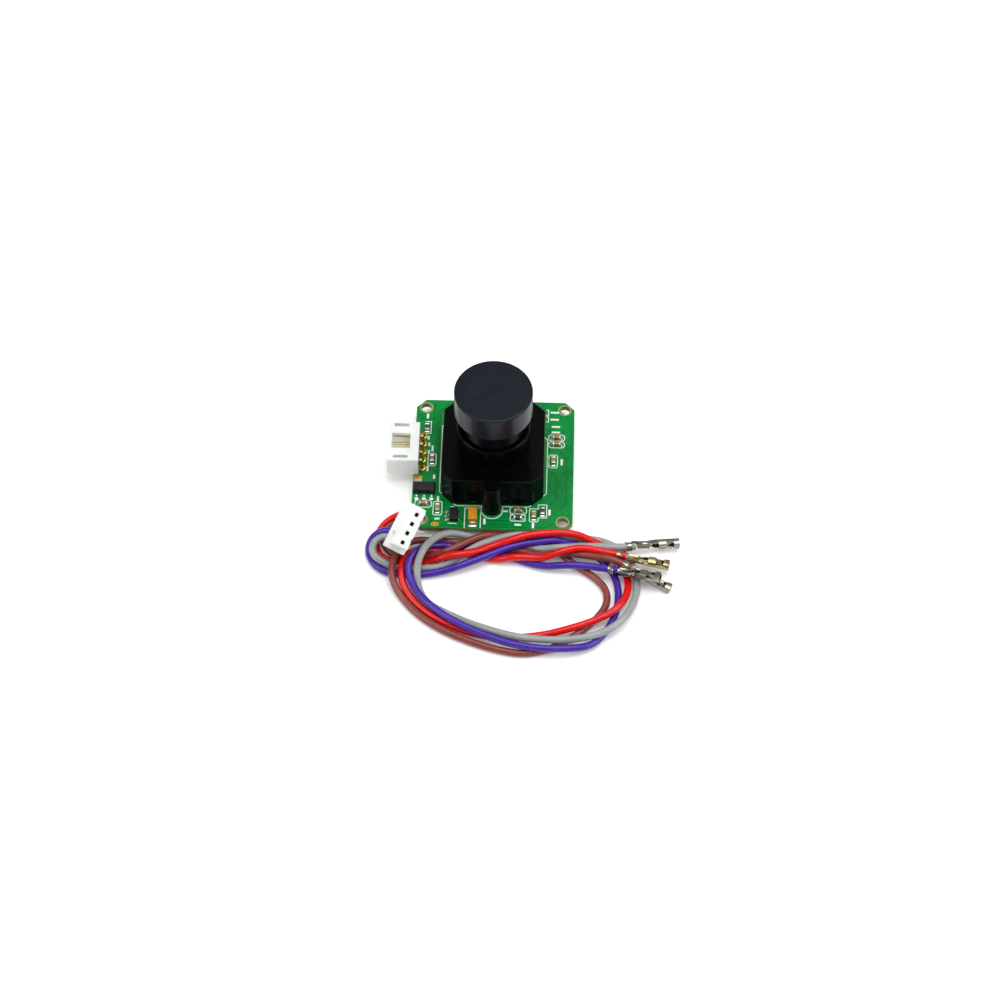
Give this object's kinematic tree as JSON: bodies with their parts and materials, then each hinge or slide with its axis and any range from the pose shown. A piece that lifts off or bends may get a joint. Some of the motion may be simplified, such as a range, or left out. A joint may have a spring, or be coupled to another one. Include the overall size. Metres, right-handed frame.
{
  "type": "board camera module",
  "caption": "Square board camera with a screw-in lens under its cap, a side-entry header and an unplugged lead with loose crimped sockets.",
  "frame": {"origin": "middle of the mounting holes, on the rear face of the circuit board", "axes": "+Z along the lens axis towards the subject, +X away from the header's edge, +Y towards the board's far edge"},
  "size_m": [0.0619, 0.0605, 0.0262],
  "materials": {
    "board_resin": "solder mask",
    "holder_plastic": "moulded",
    "cap_plastic": "moulded",
    "black_anodised": "anodised",
    "lens_glass": "polished",
    "filter_glass": "polished",
    "sensor_ceramic": "fired",
    "silicon": "polished",
    "chip_resin": "moulded",
    "capacitor_ceramic": "fired",
    "resistor_ceramic": "printed",
    "inductor_ceramic": "fired",
    "tantalum_resin": "moulded",
    "tin_plate": "tinned",
    "gold_plate": "plated",
    "screw_steel": "zinc plated",
    "connector_white": "moulded",
    "terminal_metal": "tinned",
    "wire_red": "extruded",
    "wire_brown": "extruded",
    "wire_purple": "extruded",
    "wire_gray": "extruded"
  },
  "bodies": {
    "board": {"circuit_board": "board_resin", "lens_holder": "holder_plastic", "infrared_filter": "filter_glass", "holder_screws": "screw_steel", "sensor_package": "sensor_ceramic", "sensor_die": "silicon", "sensor_glass": "lens_glass", "header_housing": "connector_white", "header_pins": "tin_plate", "regulator_body": "chip_resin", "regulator_leads": "tin_plate", "driver_body": "chip_resin", "driver_leads": "tin_plate", "tantalum_body": "tantalum_resin", "tantalum_ends": "tin_plate", "capacitor_bodies": "capacitor_ceramic", "capacitor_ends": "tin_plate", "resistor_bodies": "resistor_ceramic", "resistor_ends": "tin_plate", "inductor_bodies": "inductor_ceramic", "inductor_ends": "tin_plate", "processor_body": "chip_resin", "processor_leads": "tin_plate", "memory_body": "chip_resin", "memory_leads": "tin_plate", "crystal_base": "sensor_ceramic", "crystal_lid": "screw_steel", "plug_housing": "connector_white", "plug_contacts": "gold_plate", "wire_red": "wire_red", "wire_brown": "wire_brown", "wire_purple": "wire_purple", "wire_gray": "wire_gray", "terminal_red": "terminal_metal", "terminal_brown": "terminal_metal", "terminal_purple": "terminal_metal", "terminal_gray": "terminal_metal"},
    "lens_glass": {"front_glass": "lens_glass", "middle_glass": "lens_glass", "rear_glass": "lens_glass", "glass_spacer": "black_anodised"},
    "lens_barrel": {"lens_barrel": "black_anodised", "front_ring": "black_anodised", "rear_ring": "black_anodised"},
    "lens_cap": {"lens_cap": "cap_plastic"}
  },
  "joints": [
    {"name": "focus_travel", "type": "slide", "parent": "board", "child": "lens_glass", "axis": [0, 0, 1], "range_m": [-0.0005, 0.001]},
    {"name": "focus_turn", "type": "hinge", "parent": "lens_glass", "child": "lens_barrel", "pos_m": [0, 0, 0.0187], "axis": [0, 0, 1], "range_deg": [-360, 720]},
    {"name": "cap_pull", "type": "slide", "parent": "lens_barrel", "child": "lens_cap", "axis": [0, 0, 1], "range_m": [0, 0.012]}
  ],
  "couplings": [
    {"joint": "focus_turn", "follows": "focus_travel", "rad_per_m": 12566}
  ]
}
